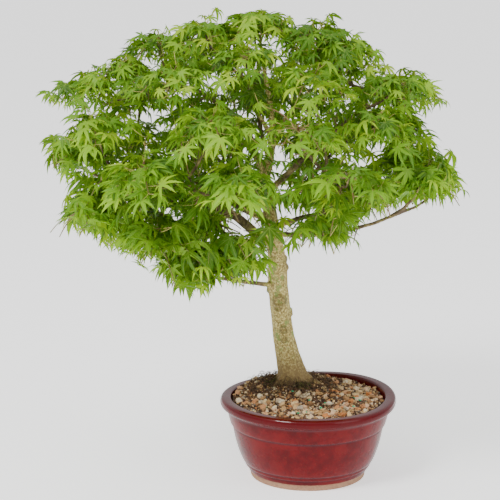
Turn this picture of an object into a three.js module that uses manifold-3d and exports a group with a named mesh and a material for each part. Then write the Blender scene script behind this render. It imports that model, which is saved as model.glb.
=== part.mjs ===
// A Japanese maple bonsai in a round glazed pot: the pot with its drain screens and their wire
// clips, the potting mix, a top dressing of grit with a few larger stones and moss, the tree's
// wood with its surface roots, and one closed leaf layer for each spray that a branchlet carries.
// Millimetres, +Z up. The origin is the middle of the whole plant's footprint, on the table.
import * as THREE from "three";
import { mergeVertices } from "three/addons/utils/BufferGeometryUtils.js";
import Module from "manifold-3d";

const wasm = await Module();
wasm.setup();

// ---- Driving dimensions ----
const GAP = 0.35; // between solids that rest on or in each other
const HAIRLINE = 0.02; // edges shorter than this are closed up

const POT_HEIGHT = 91;
const RIM_RADIUS = 100; // outside of the rolled lip
const RIM_WIDTH = 12; // flat top of the lip
const LIP_HEIGHT = 11; // from the lip's underside to its top
const LIP_OVERHANG = 7; // how far the lip stands out past the band under it
const BAND_HEIGHT = 19; // plain band between the lip and the wall's groove
const BAND_STEP = 2; // how far the band's lower edge stands proud of the wall
const BAND_TAPER = 5; // how much the band narrows downwards
const FOOT_RADIUS = 65;
const FOOT_HEIGHT = 7; // bare clay below the glaze
const FOOT_RING_WIDTH = 7;
const UNDERSIDE_RECESS = 3; // the floor's underside stands this far above the table
const FLOOR_THICKNESS = 7;
const FLOOR_RADIUS = 54; // flat part of the floor, inside
const DRAIN_RADIUS = 9;
const DRAIN_OFFSET = 26; // from the pot's axis to each drain hole

const SCREEN_HOLES = 3; // square holes along each side of a drain screen
const SCREEN_BAR = 2;
const SCREEN_THICKNESS = 1.2;
const CLIP_RADIUS = 0.75; // half the thickness of the wire clip
const CLIP_FOOT = 8; // length of each bent foot under the floor

const MIX_EDGE_DROP = 6.5; // potting mix below the rim's top, at the wall
const GRIT_THICKNESS = 3.5;
const MOUND_HEIGHT = 14; // rise of the mix at the trunk
const MOUND_SPREAD = 36;
const STONE_SIZE = 9; // typical length of a larger stone
const MOSS_RADIUS = 15;
const MOSS_HEIGHT = 5;

const TRUNK_X = -17; // middle of the trunk at the soil, from the pot's axis
const TRUNK_Y = 30;
const TREE_HEIGHT = 414; // from the soil to the top of the highest leaf layer
const TRUNK_GIRTH = 1; // scales every thickness of the wood
const DRAWN_HEIGHT = 414; // the tree height that the branch and spray points below are drawn at
const ROOT_DEPTH = 22;
const ROOT_SPREAD = 34;

const LEAF_LAYER = 2.4; // thickness of a spray's leaf layer at its middle
const LEAF_EDGE = 0.9; // and at its edge
const SPRAY_LOBES = 5; // drooping points round a spray's edge
const SPRAY_NOTCH = 0.26; // how deep the edge is notched between them, as a share of the radius
const SPRAY_DROOP = 0.5; // how far the edge hangs, as a share of the radius

// ---- Materials ----
const finish = (color, roughness) =>
  new THREE.MeshStandardMaterial({ color, roughness, metalness: 0, flatShading: true });
const glaze = finish(0x8c3937, 0.2);
const plastic = finish(0x26292b, 0.7);
const clipWire = new THREE.MeshStandardMaterial({ color: 0xb4b6b8, roughness: 0.35, metalness: 0.9 });
const pottingMix = finish(0x4a3626, 0.95);
const grit = finish(0x8a735a, 0.85);
const stone = finish(0xb9a486, 0.8);
const moss = finish(0x5c6a2c, 0.95);
const bark = finish(0xa6976c, 0.8);
const leaf = finish(0x6f8d25, 0.6);

// ---- Solids ----
// A closed mesh as a manifold-3d solid: only positions are kept, and equal ones are merged.
function solid(geometry) {
  const bare = new THREE.BufferGeometry().setAttribute("position", geometry.getAttribute("position").clone());
  if (geometry.index) bare.setIndex(geometry.index);
  const merged = mergeVertices(bare, 1e-4);
  return new wasm.Manifold(
    new wasm.Mesh({
      numProp: 3,
      vertProperties: merged.attributes.position.array,
      triVerts: new Uint32Array(merged.index.array),
    }),
  );
}

// A manifold-3d solid as a three.js geometry, with the hairline faces that a cut leaves closed up.
function geometryOf(made) {
  const mesh = made.simplify(HAIRLINE).getMesh();
  return new THREE.BufferGeometry()
    .setAttribute("position", new THREE.BufferAttribute(new Float32Array(mesh.vertProperties), 3))
    .setIndex(new THREE.BufferAttribute(new Uint32Array(mesh.triVerts), 1));
}

const joined = (solids) => solids.reduce((all, next) => all.add(next));

const largest = (made) => made.decompose().sort((a, b) => b.volume() - a.volume())[0];

// A turned shape, its axis along Z, from a profile of [radius, height] points that starts and
// ends on the axis or closes on itself, anticlockwise.
function turned(profile, segments) {
  const points = profile.map(([radius, height]) => new THREE.Vector2(radius, height));
  return new THREE.LatheGeometry(points, segments).rotateX(Math.PI / 2);
}

// A tube along a curve whose radius changes from end to end. radiusAt takes 0 to 1.
function tube(curve, radiusAt, sides, steps, grow = 0) {
  const { normals, binormals } = curve.computeFrenetFrames(steps, false);
  const positions = [];
  const faces = [];
  for (let i = 0; i <= steps; i++) {
    const middle = curve.getPointAt(i / steps);
    const radius = radiusAt(i / steps) + grow;
    for (let j = 0; j < sides; j++) {
      const angle = (2 * Math.PI * j) / sides;
      const out = normals[i].clone().multiplyScalar(Math.cos(angle));
      out.addScaledVector(binormals[i], Math.sin(angle));
      positions.push(...middle.clone().addScaledVector(out, radius).toArray());
    }
  }
  for (let i = 0; i < steps; i++) {
    for (let j = 0; j < sides; j++) {
      const a = i * sides + j;
      const b = i * sides + ((j + 1) % sides);
      faces.push(a, b, a + sides, b, b + sides, a + sides);
    }
  }
  const last = steps * sides;
  for (let j = 1; j < sides - 1; j++) faces.push(0, j + 1, j, last, last + j, last + j + 1);
  return solid(
    new THREE.BufferGeometry()
      .setAttribute("position", new THREE.Float32BufferAttribute(positions, 3))
      .setIndex(faces),
  );
}

// ---- Pot ----
const FLOOR_TOP = UNDERSIDE_RECESS + FLOOR_THICKNESS;
const MOUTH_RADIUS = RIM_RADIUS - RIM_WIDTH;
const BAND_RADIUS = RIM_RADIUS - LIP_OVERHANG;
const LIP_BOTTOM = POT_HEIGHT - LIP_HEIGHT;
const GROOVE_Z = LIP_BOTTOM - BAND_HEIGHT;
const WALL_TOP_RADIUS = BAND_RADIUS - BAND_TAPER - BAND_STEP;
const GLAZE_STEP = 2.5; // the glazed wall starts this far outside the bare foot
const POT_SEGMENTS = 40;

const wallCurve = new THREE.QuadraticBezierCurve(
  new THREE.Vector2(FOOT_RADIUS + GLAZE_STEP, FOOT_HEIGHT + 1),
  new THREE.Vector2(WALL_TOP_RADIUS - 10, FOOT_HEIGHT + 0.36 * (GROOVE_Z - FOOT_HEIGHT)),
  new THREE.Vector2(WALL_TOP_RADIUS, GROOVE_Z),
);
const insideCurve = new THREE.QuadraticBezierCurve(
  new THREE.Vector2(FLOOR_RADIUS, FLOOR_TOP),
  new THREE.Vector2(MOUTH_RADIUS - 14, FLOOR_TOP + 0.17 * (POT_HEIGHT - FLOOR_TOP)),
  new THREE.Vector2(MOUTH_RADIUS, POT_HEIGHT),
);

const insideProfile = insideCurve.getPoints(5);

// The pot's inner radius at a height above the floor.
function insideRadius(height) {
  const next = insideProfile.findIndex((point) => point.y >= height);
  const [low, high] = [insideProfile[next - 1], insideProfile[next]];
  return THREE.MathUtils.lerp(low.x, high.x, (height - low.y) / (high.y - low.y));
}

const LIP_ROUND = LIP_HEIGHT / 2;
const lipArc = [-60, -25, 10, 50, 90].map((degrees) => {
  const angle = THREE.MathUtils.degToRad(degrees);
  return [RIM_RADIUS + LIP_ROUND * (Math.cos(angle) - 1), POT_HEIGHT + LIP_ROUND * (Math.sin(angle) - 1)];
});

function potSolid() {
  const ringInside = FOOT_RADIUS - FOOT_RING_WIDTH;
  const profile = [
    [0, UNDERSIDE_RECESS],
    [ringInside - UNDERSIDE_RECESS, UNDERSIDE_RECESS],
    [ringInside, 0],
    [FOOT_RADIUS, 0],
    [FOOT_RADIUS + 1, FOOT_HEIGHT],
    ...wallCurve.getPoints(5).map((p) => [p.x, p.y]),
    [WALL_TOP_RADIUS + BAND_STEP, GROOVE_Z + BAND_STEP],
    [BAND_RADIUS, LIP_BOTTOM - 2],
    ...lipArc,
    ...insideProfile.toReversed().map((p) => [p.x, p.y]),
    [0, FLOOR_TOP],
  ];
  const drain = new THREE.CylinderGeometry(DRAIN_RADIUS, DRAIN_RADIUS, 3 * FLOOR_THICKNESS, 16);
  drain.rotateX(Math.PI / 2).translate(0, 0, FLOOR_TOP - FLOOR_THICKNESS / 2);
  return solid(turned(profile, POT_SEGMENTS))
    .subtract(solid(drain.clone().translate(-DRAIN_OFFSET, 0, 0)))
    .subtract(solid(drain.clone().translate(DRAIN_OFFSET, 0, 0)));
}

// ---- Drain screens and their wire clips ----
const CLIP_LEG = DRAIN_RADIUS - CLIP_RADIUS - 2 * GAP; // from the hole's middle to each leg
const SCREEN_PITCH = CLIP_LEG; // so the legs pass through the middles of the outer holes
const SCREEN_HOLE = SCREEN_PITCH - SCREEN_BAR;
const SCREEN_SIDE = SCREEN_HOLES * SCREEN_HOLE + (SCREEN_HOLES + 1) * SCREEN_BAR;
const SCREEN_BOTTOM = FLOOR_TOP + GAP;
const SCREEN_TOP = SCREEN_BOTTOM + SCREEN_THICKNESS;
const CLIP_TOP = SCREEN_TOP + GAP + 2 * CLIP_RADIUS;

function screenSolid() {
  const middle = (SCREEN_HOLES - 1) / 2;
  const hole = new THREE.BoxGeometry(SCREEN_HOLE, SCREEN_HOLE, 3 * SCREEN_THICKNESS);
  let screen = solid(new THREE.BoxGeometry(SCREEN_SIDE, SCREEN_SIDE, SCREEN_THICKNESS));
  for (let i = 0; i < SCREEN_HOLES; i++)
    for (let j = 0; j < SCREEN_HOLES; j++)
      screen = screen.subtract(solid(hole.clone().translate((i - middle) * SCREEN_PITCH, (j - middle) * SCREEN_PITCH, 0)));
  return screen;
}

// A wire staple: over the screen, down through the drain hole and bent out under the floor.
function clipSolid() {
  const under = UNDERSIDE_RECESS - GAP - CLIP_RADIUS;
  const over = CLIP_TOP - CLIP_RADIUS;
  const bend = 2 * CLIP_RADIUS;
  const half = [
    [0, over],
    [CLIP_LEG - bend, over],
    [CLIP_LEG, over - bend],
    [CLIP_LEG, under + bend],
    [CLIP_LEG + bend, under],
    [CLIP_LEG + CLIP_FOOT, under],
  ];
  const left = half.slice(1).reverse().map(([x, z]) => new THREE.Vector3(-x, 0, z));
  const right = half.map(([x, z]) => new THREE.Vector3(x, 0, z));
  const route = new THREE.CatmullRomCurve3([...left, ...right], false, "catmullrom", 0.1);
  return tube(route, () => CLIP_RADIUS, 6, 20);
}

// ---- Potting mix and grit ----
const MIX_EDGE = POT_HEIGHT - MIX_EDGE_DROP;
const MIX_RADIUS = insideRadius(MIX_EDGE) - 2 * GAP;
const GROUND_SEGMENTS = 24;
const GROUND_RINGS = 5;

// How far the ground rises above its edge at a point measured from the pot's axis.
function mound(x, y) {
  const squared = (x - TRUNK_X) ** 2 + (y - TRUNK_Y) ** 2;
  return MOUND_HEIGHT * Math.exp(-squared / (2 * MOUND_SPREAD ** 2));
}

const groundHeight = (x, y) => MIX_EDGE + GAP + GRIT_THICKNESS + mound(x, y);

// The block of mix that fills the pot, its top raised by the mound.
function fillSolid() {
  const side = insideProfile.slice(1).filter((point) => point.y < MIX_EDGE - 1);
  const top = Array.from({ length: GROUND_RINGS + 1 }, (_, i) => [MIX_RADIUS * (1 - i / GROUND_RINGS), MIX_EDGE]);
  const profile = [
    [0, FLOOR_TOP + GAP],
    [FLOOR_RADIUS - 2 * GAP, FLOOR_TOP + GAP],
    ...side.map((point) => [point.x - 2 * GAP, point.y]),
    ...top,
  ];
  const geometry = turned(profile, GROUND_SEGMENTS);
  const points = geometry.getAttribute("position");
  for (let i = 0; i < points.count; i++) {
    if (points.getZ(i) > MIX_EDGE - 0.01) points.setZ(i, points.getZ(i) + mound(points.getX(i), points.getY(i)));
  }
  return solid(geometry);
}

function mixSolid() {
  const pocketHeight = CLIP_TOP - FLOOR_TOP + GAP;
  const pocketSide = SCREEN_SIDE + 2 * GAP;
  const pocket = new THREE.BoxGeometry(pocketSide, pocketSide, 2 * pocketHeight).translate(0, 0, FLOOR_TOP);
  return fillSolid()
    .subtract(solid(pocket.clone().translate(-DRAIN_OFFSET, 0, 0)))
    .subtract(solid(pocket.clone().translate(DRAIN_OFFSET, 0, 0)));
}

// The grit is the slice between the block's top and the same top a layer higher.
const gritSolid = () =>
  fillSolid().translate([0, 0, GAP + GRIT_THICKNESS]).subtract(fillSolid().translate([0, 0, GAP]));

// ---- Stones and moss on the grit ----
// Each stone is [x, y, length, turn] from the pot's axis.
const stonePlaces = [
  [-32, -34, 1.15, 20],
  [22, -36, 1.05, 75],
  [-7, -19, 0.9, 140],
  [60, -8, 1, 200],
  [-54, -30, 0.85, 260],
  [40, -52, 0.9, 310],
];

// A worn angular stone lying flat, its lowest point just clear of the grit.
function stoneGeometry([x, y, length, turn], index) {
  const geometry = new THREE.IcosahedronGeometry(0.5, 1);
  const points = geometry.getAttribute("position");
  for (let i = 0; i < points.count; i++) {
    const [u, v, w] = [points.getX(i), points.getY(i), points.getZ(i)];
    const worn = 1 + 0.14 * Math.sin(7 * u + index) * Math.cos(6 * v + 2 * index) + 0.08 * Math.sin(9 * w + index);
    points.setXYZ(i, u * worn, v * worn, w * worn);
  }
  geometry.scale(STONE_SIZE * length, STONE_SIZE * length * 0.78, STONE_SIZE * length * 0.52);
  geometry.rotateZ(THREE.MathUtils.degToRad(turn)).translate(x, y, 0);
  let lift = -Infinity;
  for (let i = 0; i < points.count; i++)
    lift = Math.max(lift, groundHeight(points.getX(i), points.getY(i)) - points.getZ(i));
  return geometry.translate(0, 0, lift + GAP);
}

// Each moss cushion is [x, y, size] from the trunk's middle.
const mossPlaces = { moss_left: [-19, -8, 1], moss_front: [10, -20, 0.8] };

// A low cushion that follows the mounded ground.
function mossSolid([x, y, size]) {
  const radius = MOSS_RADIUS * size;
  const dome = [0, 0.3, 0.55, 0.8, 1].map((share) => [radius * (1 - share), GAP + MOSS_HEIGHT * Math.sqrt(share * (2 - share))]);
  const base = [0, 0.5, 1].map((share) => [radius * share, GAP]);
  const geometry = turned([...base, ...dome.slice(1)], 14);
  const points = geometry.getAttribute("position");
  for (let i = 0; i < points.count; i++) {
    const [px, py] = [points.getX(i) + TRUNK_X + x, points.getY(i) + TRUNK_Y + y];
    points.setXYZ(i, px, py, points.getZ(i) + groundHeight(px, py));
  }
  return solid(geometry);
}

// ---- The tree's wood ----
// Tree points are measured from the middle of the trunk at the soil, to the right, to the back
// and up, at DRAWN_HEIGHT.
const SCALE = TREE_HEIGHT / DRAWN_HEIGHT;
const GROUND = groundHeight(TRUNK_X, TRUNK_Y);
const treePoint = ([x, y, z]) => new THREE.Vector3(TRUNK_X + SCALE * x, TRUNK_Y + SCALE * y, GROUND + SCALE * z);
const treeCurve = (points) => new THREE.CatmullRomCurve3(points.map(treePoint), false, "centripetal");

const TIP_RADIUS = 1.2;

// The trunk as [x, y, z, radius].
const trunkPoints = [
  [0, 0, -12, 21],
  [0, 0, 2, 18.5],
  [-3, 0, 17, 15],
  [-8, 0, 38, 13.2],
  [-13, 0, 72, 12],
  [-17, 0, 105, 11.8],
  [-18, -4, 140, 10.8],
  [-23, -8, 172, 8.8],
  [-26, -9, 192, 8.4],
  [-30, -10, 219, 7],
  [-33, -11, 238, 6],
  [-27, -13, 256, 5],
  [-24, -16, 298, 3.6],
  [-32, -22, 350, 2.4],
  [-38, -28, 396, 1.6],
];

// Surface roots as [direction in degrees, reach], from the trunk's flare into the mix.
const surfaceRoots = [
  [-8, 1],
  [55, 0.85],
  [118, 1],
  [172, 0.9],
  [222, 1.05],
  [292, 0.8],
];

// The limbs: a route, the radius where it leaves the trunk and at its end, and the middles of
// the leaf sprays that it carries, each [x, y, z, radius].
const limbs = {
  low_left: {
    route: [[-17, 0, 110], [-55, -32, 122], [-90, -52, 132], [-112, -66, 140]],
    radii: [3, 1.5],
    sprays: [[-120, -75, 160, 44]],
  },
  first_left: {
    route: [[-20, -6, 160], [-44, -16, 174], [-56, -22, 189], [-72, -30, 200], [-105, -44, 214], [-150, -55, 228], [-196, -58, 244]],
    radii: [6.6, 2.2],
    sprays: [[-88, -98, 204, 44], [-150, -128, 196, 46], [-230, -100, 214, 46], [-241, -48, 270, 44], [-213, -108, 312, 48]],
  },
  second_left: {
    route: [[-24, -8, 186], [-61, -5, 202], [-105, 20, 224], [-150, 42, 244], [-190, 52, 252]],
    radii: [4.2, 1.9],
    sprays: [[-223, 10, 210, 44], [-230, 60, 270, 48], [-178, 72, 326, 50]],
  },
  first_right: {
    route: [[-22, -8, 172], [2, -34, 176], [27, -54, 180], [58, -72, 189], [95, -88, 203], [120, -84, 216]],
    radii: [3, 1.6],
    sprays: [[27, -88, 190, 36], [153, -62, 238, 46], [136, -118, 262, 46]],
  },
  second_right: {
    route: [[-22, -8, 180], [13, -25, 195], [55, -25, 204], [98, -12, 226]],
    radii: [3.2, 1.7],
    sprays: [[75, -40, 216, 44], [135, 0, 262, 44]],
  },
  inner_right: {
    route: [[-28, -12, 222], [-4, -35, 248], [22, -45, 276], [50, -54, 300], [78, -66, 326]],
    radii: [4, 1.9],
    sprays: [[112, -52, 306, 42], [84, -130, 318, 48], [108, -62, 350, 48]],
  },
  upper_left: {
    route: [[-32, -12, 230], [-41, -28, 262], [-50, -34, 288], [-62, -40, 306], [-98, -48, 334], [-140, -48, 350]],
    radii: [4.6, 1.9],
    sprays: [[-128, -118, 366, 50], [-190, -50, 362, 48], [-234, 0, 340, 46], [-150, -20, 388, 48]],
  },
  crown_front: {
    route: [[-24, -16, 282], [-43, -32, 318], [-52, -52, 344], [-62, -78, 362]],
    radii: [2.9, 1.5],
    sprays: [[-52, -112, 384, 50], [-98, -45, 404, 52]],
  },
  front_left: {
    route: [[-28, -12, 205], [-58, -64, 222], [-92, -106, 238], [-124, -138, 250]],
    radii: [3.6, 1.7],
    sprays: [[-160, -170, 272, 48], [-60, -200, 266, 46], [-88, -172, 322, 50]],
  },
  front_right: {
    route: [[-28, -12, 210], [2, -66, 230], [28, -114, 250], [44, -150, 256]],
    radii: [3.6, 1.7],
    sprays: [[52, -186, 268, 48], [0, -176, 316, 50], [18, -122, 362, 50]],
  },
  back_left: {
    route: [[-28, -8, 200], [-52, 46, 212], [-84, 90, 240], [-106, 118, 258]],
    radii: [3.8, 1.7],
    sprays: [[-70, 92, 218, 46], [-108, 132, 276, 50], [-112, 62, 372, 52]],
  },
  back_right: {
    route: [[-28, -8, 206], [8, 42, 214], [38, 86, 240], [66, 104, 262]],
    radii: [3.8, 1.7],
    sprays: [[60, 68, 214, 46], [50, 136, 270, 50], [100, 78, 322, 48]],
  },
  back_high: {
    route: [[-28, -13, 256], [-38, 32, 292], [-36, 84, 316]],
    radii: [3.2, 1.6],
    sprays: [[-35, 118, 332, 52], [32, 60, 368, 52], [-45, 48, 404, 52]],
  },
  crown_right: {
    route: [[-25, -16, 280], [2, -26, 320], [32, -30, 346], [64, -18, 344]],
    radii: [3, 1.5],
    sprays: [[24, -42, 402, 50], [57, -25, 384, 48], [134, 18, 338, 46]],
  },
  apex: {
    route: [[-24, -16, 298], [-32, -22, 350], [-38, -28, 390]],
    radii: [3, 1.6],
    sprays: [[-38, -28, 414, 52]],
  },
};

// A radius that falls evenly along a branch.
const taper = (from, to) => (share) => TRUNK_GIRTH * (from + (to - from) * share);

function trunkTube(grow) {
  const curve = treeCurve(trunkPoints);
  const radii = trunkPoints.map((point) => TRUNK_GIRTH * point[3]);
  const lengths = curve.getLengths(200);
  const knots = trunkPoints.map((_, i) => lengths[Math.round((200 * i) / (trunkPoints.length - 1))] / lengths[200]);
  const radiusAt = (share) => {
    const next = Math.min(Math.max(knots.findIndex((knot) => knot >= share - 1e-9), 1), knots.length - 1);
    const along = (share - knots[next - 1]) / (knots[next] - knots[next - 1]);
    return THREE.MathUtils.lerp(radii[next - 1], radii[next], THREE.MathUtils.clamp(along, 0, 1));
  };
  return tube(curve, radiusAt, 10, 20, grow);
}

// A surface root leaves the flare above the soil, crosses the ground and dives into the mix.
function rootTube([degrees, reach], grow) {
  const angle = THREE.MathUtils.degToRad(degrees);
  const at = (out, up) => new THREE.Vector3(TRUNK_X + out * Math.cos(angle), TRUNK_Y + out * Math.sin(angle), GROUND + up);
  const spread = ROOT_SPREAD * reach;
  const curve = new THREE.CatmullRomCurve3([at(4, 12), at(0.45 * spread, 0), at(0.8 * spread, -9), at(spread, -ROOT_DEPTH)]);
  return tube(curve, taper(9, 3), 6, 5, grow);
}

// ---- Leaf sprays ----
const UP = new THREE.Vector3(0, 0, 1);

// The frame of a spray: its middle, its axis, tilted outwards more on the lower sprays, the
// direction away from the trunk, and its radius.
function sprayFrame([x, y, z, radius]) {
  const middle = treePoint([x, y, z]);
  const out = new THREE.Vector3(middle.x - TRUNK_X, middle.y - TRUNK_Y, 0).normalize();
  const tilt = 0.12 + 0.3 * (1 - z / DRAWN_HEIGHT);
  const axis = UP.clone().addScaledVector(out, tilt).normalize();
  const ahead = out.addScaledVector(axis, -out.dot(axis)).normalize();
  return { middle, axis, ahead, side: new THREE.Vector3().crossVectors(axis, ahead), radius: SCALE * radius };
}

// One spray's leaf layer: a drooping, lobed umbrella that thins towards its edge.
function spraySolid({ middle, axis, ahead, side, radius }, grow = 0) {
  const around = 2 * SPRAY_LOBES;
  const place = (share, j, drop) => {
    const angle = (2 * Math.PI * j) / around;
    const reach = share * radius * (j % 2 ? 1 - SPRAY_NOTCH * share : 1);
    const hang = SPRAY_DROOP * radius * share ** 2 * (j % 2 ? 0.6 : 1) + drop;
    return middle.clone()
      .addScaledVector(ahead, reach * Math.cos(angle))
      .addScaledVector(side, reach * Math.sin(angle))
      .addScaledVector(axis, -hang);
  };
  const positions = [];
  const faces = [];
  const ring = (layer, i, j) => layer * (2 * around + 1) + 1 + i * around + (j % around);
  const edge = 1 + (1.5 * grow) / radius;
  [[-1.5 * grow, -1.5 * grow], [LEAF_LAYER + 1.5 * grow, LEAF_EDGE + 1.5 * grow]].forEach(([drop, edgeDrop], layer) => {
    positions.push(...place(0, 0, drop).toArray());
    for (let j = 0; j < around; j++) positions.push(...place(0.5, j, drop).toArray());
    for (let j = 0; j < around; j++) positions.push(...place(edge, j, edgeDrop).toArray());
    const face = (p, q, r) => faces.push(p, layer ? r : q, layer ? q : r);
    for (let j = 0; j < around; j++) {
      face(layer * (2 * around + 1), ring(layer, 0, j), ring(layer, 0, j + 1));
      face(ring(layer, 0, j), ring(layer, 1, j), ring(layer, 1, j + 1));
      face(ring(layer, 0, j), ring(layer, 1, j + 1), ring(layer, 0, j + 1));
    }
  });
  for (let j = 0; j < around; j++) {
    faces.push(ring(0, 1, j), ring(1, 1, j), ring(1, 1, j + 1));
    faces.push(ring(0, 1, j), ring(1, 1, j + 1), ring(0, 1, j + 1));
  }
  return solid(
    new THREE.BufferGeometry()
      .setAttribute("position", new THREE.Float32BufferAttribute(positions, 3))
      .setIndex(faces),
  );
}

// A branchlet forks from its limb a little before the point nearest its spray, and rises into
// the middle of the leaf layer, just under it.
function branchletTube(limb, spray, grow) {
  const samples = Array.from({ length: 41 }, (_, i) => i / 40);
  const reach = (share) => limb.getPointAt(share).distanceTo(spray.middle);
  const nearest = samples.reduce((best, share) => (reach(share) < reach(best) ? share : best));
  const fork = Math.max(0.12, nearest - 0.12);
  const start = limb.getPointAt(fork);
  const end = spray.middle.clone().addScaledVector(spray.axis, -LEAF_LAYER - GAP);
  const length = start.distanceTo(end);
  const route = new THREE.CubicBezierCurve3(
    start,
    start.clone().addScaledVector(limb.getTangentAt(fork), 0.3 * length),
    end.clone().addScaledVector(spray.axis, -0.4 * length),
    end,
  );
  return tube(route, taper(2.1, TIP_RADIUS), 5, 4, grow);
}

const woodSolids = (grow) => [
  trunkTube(grow),
  ...surfaceRoots.map((root) => rootTube(root, grow)),
  ...Object.values(limbs).flatMap(({ route, radii, sprays }) => {
    const curve = treeCurve(route);
    return [
      tube(curve, taper(...radii), 6, route.length + 3, grow),
      ...sprays.map((spray) => branchletTube(curve, sprayFrame(spray), grow)),
    ];
  }),
];

// ---- The plant ----
const plant = new THREE.Group();

function add(name, geometry, material, x = 0, y = 0, z = 0) {
  const mesh = new THREE.Mesh(geometry, material);
  mesh.name = name;
  mesh.position.set(x, y, z);
  plant.add(mesh);
}

const wood = largest(joined(woodSolids(0))); // without any pocket sealed between branches
const woodRoom = joined(woodSolids(GAP));

add("pot", geometryOf(potSolid()), glaze);
for (const [where, x] of [["left", -DRAIN_OFFSET], ["right", DRAIN_OFFSET]]) {
  add(`drain_screen_${where}`, geometryOf(screenSolid()), plastic, x, 0, SCREEN_BOTTOM + SCREEN_THICKNESS / 2);
  add(`screen_clip_${where}`, geometryOf(clipSolid()), clipWire, x);
}
add("potting_mix", geometryOf(mixSolid().subtract(woodRoom)), pottingMix);
add("grit_layer", geometryOf(largest(gritSolid().subtract(woodRoom))), grit);
stonePlaces.forEach((place, i) => add(`stone_${i + 1}`, stoneGeometry(place, i), stone));
for (const [name, place] of Object.entries(mossPlaces))
  add(name, geometryOf(largest(mossSolid(place).subtract(woodRoom))), moss);
add("trunk_and_branches", geometryOf(wood), bark);

// A later spray gives way to the wood that passes through it and to the sprays before it.
let taken = woodRoom;
for (const [limb, { sprays }] of Object.entries(limbs)) {
  sprays.forEach((spray, i) => {
    const frame = sprayFrame(spray);
    add(`leaves_${limb}_${i + 1}`, geometryOf(largest(spraySolid(frame).subtract(taken))), leaf);
    taken = taken.add(spraySolid(frame, GAP));
  });
}

// The origin moves from the pot's axis to the middle of the plant's footprint.
const footprint = new THREE.Box3().setFromObject(plant);
const centre = footprint.getCenter(new THREE.Vector3());
plant.position.set(-centre.x, -centre.y, -footprint.min.z);

export default plant;
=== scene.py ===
import math
import random

import bmesh
import bpy
from mathutils import Matrix, Vector, noise
from mathutils.kdtree import KDTree


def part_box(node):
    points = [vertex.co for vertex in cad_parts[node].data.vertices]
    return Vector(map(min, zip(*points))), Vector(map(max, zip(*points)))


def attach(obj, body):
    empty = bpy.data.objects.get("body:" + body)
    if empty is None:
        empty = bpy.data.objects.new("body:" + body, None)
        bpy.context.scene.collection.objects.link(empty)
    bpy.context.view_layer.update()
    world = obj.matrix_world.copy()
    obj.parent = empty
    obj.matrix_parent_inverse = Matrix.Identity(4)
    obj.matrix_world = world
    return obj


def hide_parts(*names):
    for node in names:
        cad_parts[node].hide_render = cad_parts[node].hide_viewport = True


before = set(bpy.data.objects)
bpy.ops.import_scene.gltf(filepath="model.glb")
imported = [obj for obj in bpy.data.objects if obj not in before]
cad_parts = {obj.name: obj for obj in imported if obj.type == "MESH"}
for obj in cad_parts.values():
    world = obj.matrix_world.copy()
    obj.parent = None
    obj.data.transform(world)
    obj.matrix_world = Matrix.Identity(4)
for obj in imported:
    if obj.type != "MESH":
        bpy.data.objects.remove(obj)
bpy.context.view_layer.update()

# ---- The studio: a wide pale floor, and soft light from all round ----
# The camera looks slightly down at the plant from the front. Its distances are from the middle
# of the pot's foot, because the crown hangs out to one side of the pot.
pot_low, pot_high = (Vector(corner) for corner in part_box("pot"))
pot_middle = Vector(((pot_low.x + pot_high.x) / 2, (pot_low.y + pot_high.y) / 2, 0))

CAMERA_PLACE = (-0.066, -1.9, 0.652)
CAMERA_AIM = (0, 1.9, -0.39)
FLOOR_RADIUS, FLOOR_SIDES = 14, 64
KEY_POWER, FILL_POWER = 62, 16

camera = bpy.data.objects.new("camera", bpy.data.cameras.new("camera"))
camera.data.lens = 125
camera.data.sensor_width = 36
camera.data.shift_y = -0.003
camera.location = pot_middle + Vector(CAMERA_PLACE)
camera.rotation_euler = Vector(CAMERA_AIM).to_track_quat("-Z", "Y").to_euler()
bpy.context.scene.collection.objects.link(camera)
bpy.context.scene.camera = camera

world = bpy.data.worlds.new("studio")
world.use_nodes = True
sky = world.node_tree
heading = sky.nodes.new("ShaderNodeSeparateXYZ")
sky.links.new(sky.nodes.new("ShaderNodeTexCoord").outputs["Generated"], heading.inputs[0])
rise = sky.nodes.new("ShaderNodeMapRange")
for name, value in (("From Min", -0.1), ("From Max", 0.9), ("To Min", 0.6), ("To Max", 1.05)):
    rise.inputs[name].default_value = value
sky.links.new(heading.outputs["Z"], rise.inputs["Value"])
sky.links.new(rise.outputs[0], sky.nodes["Background"].inputs["Strength"])
sky.nodes["Background"].inputs["Color"].default_value = (1, 1, 1, 1)
bpy.context.scene.world = world


def panel_light(name, place, aim, size, power):
    light = bpy.data.lights.new(name, "AREA")
    light.shape = "DISK"
    light.size = size
    light.energy = power
    lamp = bpy.data.objects.new(name, light)
    lamp.location = place
    lamp.rotation_euler = (Vector(aim) - Vector(place)).to_track_quat("-Z", "Y").to_euler()
    bpy.context.scene.collection.objects.link(lamp)


panel_light("key_light", (-1.2, -1.5, 2.2), (0, 0, 0.3), 0.9, KEY_POWER)
panel_light("fill_light", (1.8, -1.4, 1.0), (0, 0, 0.25), 1.5, FILL_POWER)

floor_mesh = bpy.data.meshes.new("floor")
turns = [2 * math.pi * i / FLOOR_SIDES for i in range(FLOOR_SIDES)]
floor_corners = [(FLOOR_RADIUS * math.cos(turn), FLOOR_RADIUS * math.sin(turn), 0) for turn in turns]
floor_mesh.from_pydata(floor_corners, [], [list(range(FLOOR_SIDES))])
floor = bpy.data.objects.new("floor", floor_mesh)
bpy.context.scene.collection.objects.link(floor)
floor_paint = bpy.data.materials.new("floor_paint")
floor_paint.use_nodes = True
floor_shader = floor_paint.node_tree.nodes["Principled BSDF"]
floor_shader.inputs["Base Color"].default_value = (0.93, 0.93, 0.93, 1)
floor_shader.inputs["Roughness"].default_value = 0.9
floor_shader.inputs["Emission Color"].default_value = (1, 1, 1, 1)
floor_shader.inputs["Emission Strength"].default_value = 0.85
floor_mesh.materials.append(floor_paint)


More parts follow.
